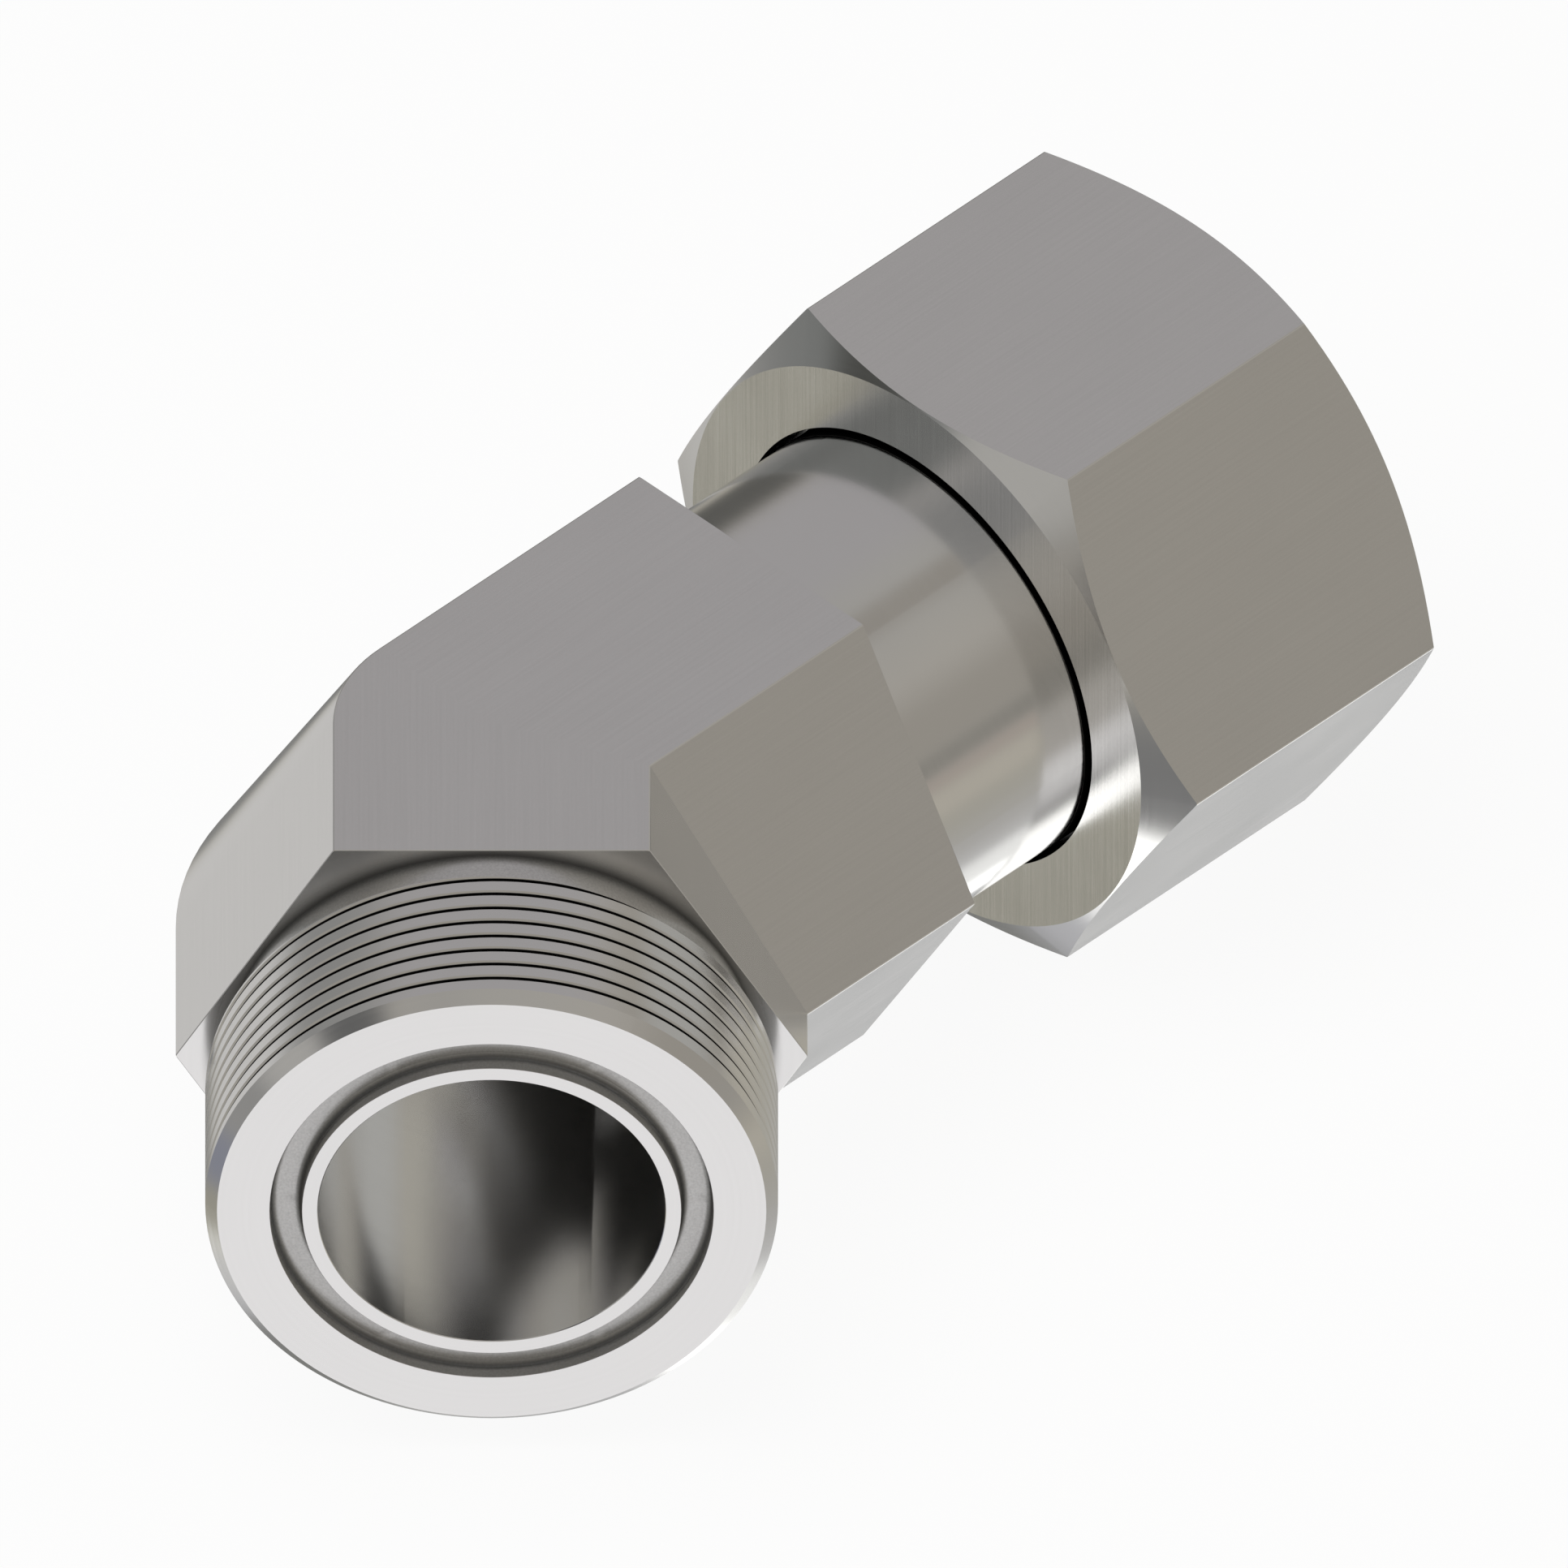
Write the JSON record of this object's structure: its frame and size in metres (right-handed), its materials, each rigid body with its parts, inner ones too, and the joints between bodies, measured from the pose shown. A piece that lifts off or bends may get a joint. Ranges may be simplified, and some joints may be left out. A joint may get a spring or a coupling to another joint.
{
  "type": "swivel elbow pipe fitting",
  "caption": "Steel 45 degree elbow pipe fitting: threaded face-seal male end, hexagon body bend, and a plain stub with a loose hexagon nut that turns.",
  "frame": {"origin": "on the axis of the male leg, at the outer end of its full thread", "axes": "-Y points out of the male end. The elbow lies in the XY plane, and its swivel leg points between +X and +Y, 45 degrees from each. +Z is square to the plane of the elbow, which lies on its side."},
  "size_m": [0.0942, 0.1026, 0.0476],
  "materials": {
    "body_steel": "machined, satin",
    "nut_steel": "machined, satin",
    "wire_steel": "drawn wire"
  },
  "bodies": {
    "elbow": {"elbow_body": "body_steel", "retaining_wire": "wire_steel"},
    "nut": {"swivel_nut": "nut_steel"}
  },
  "joints": [
    {"name": "nut_swivel", "type": "hinge", "parent": "elbow", "child": "nut", "pos_m": [0.04278, 0.07398, 0], "axis": [0.7071, 0.7071, 0], "continuous": true}
  ]
}
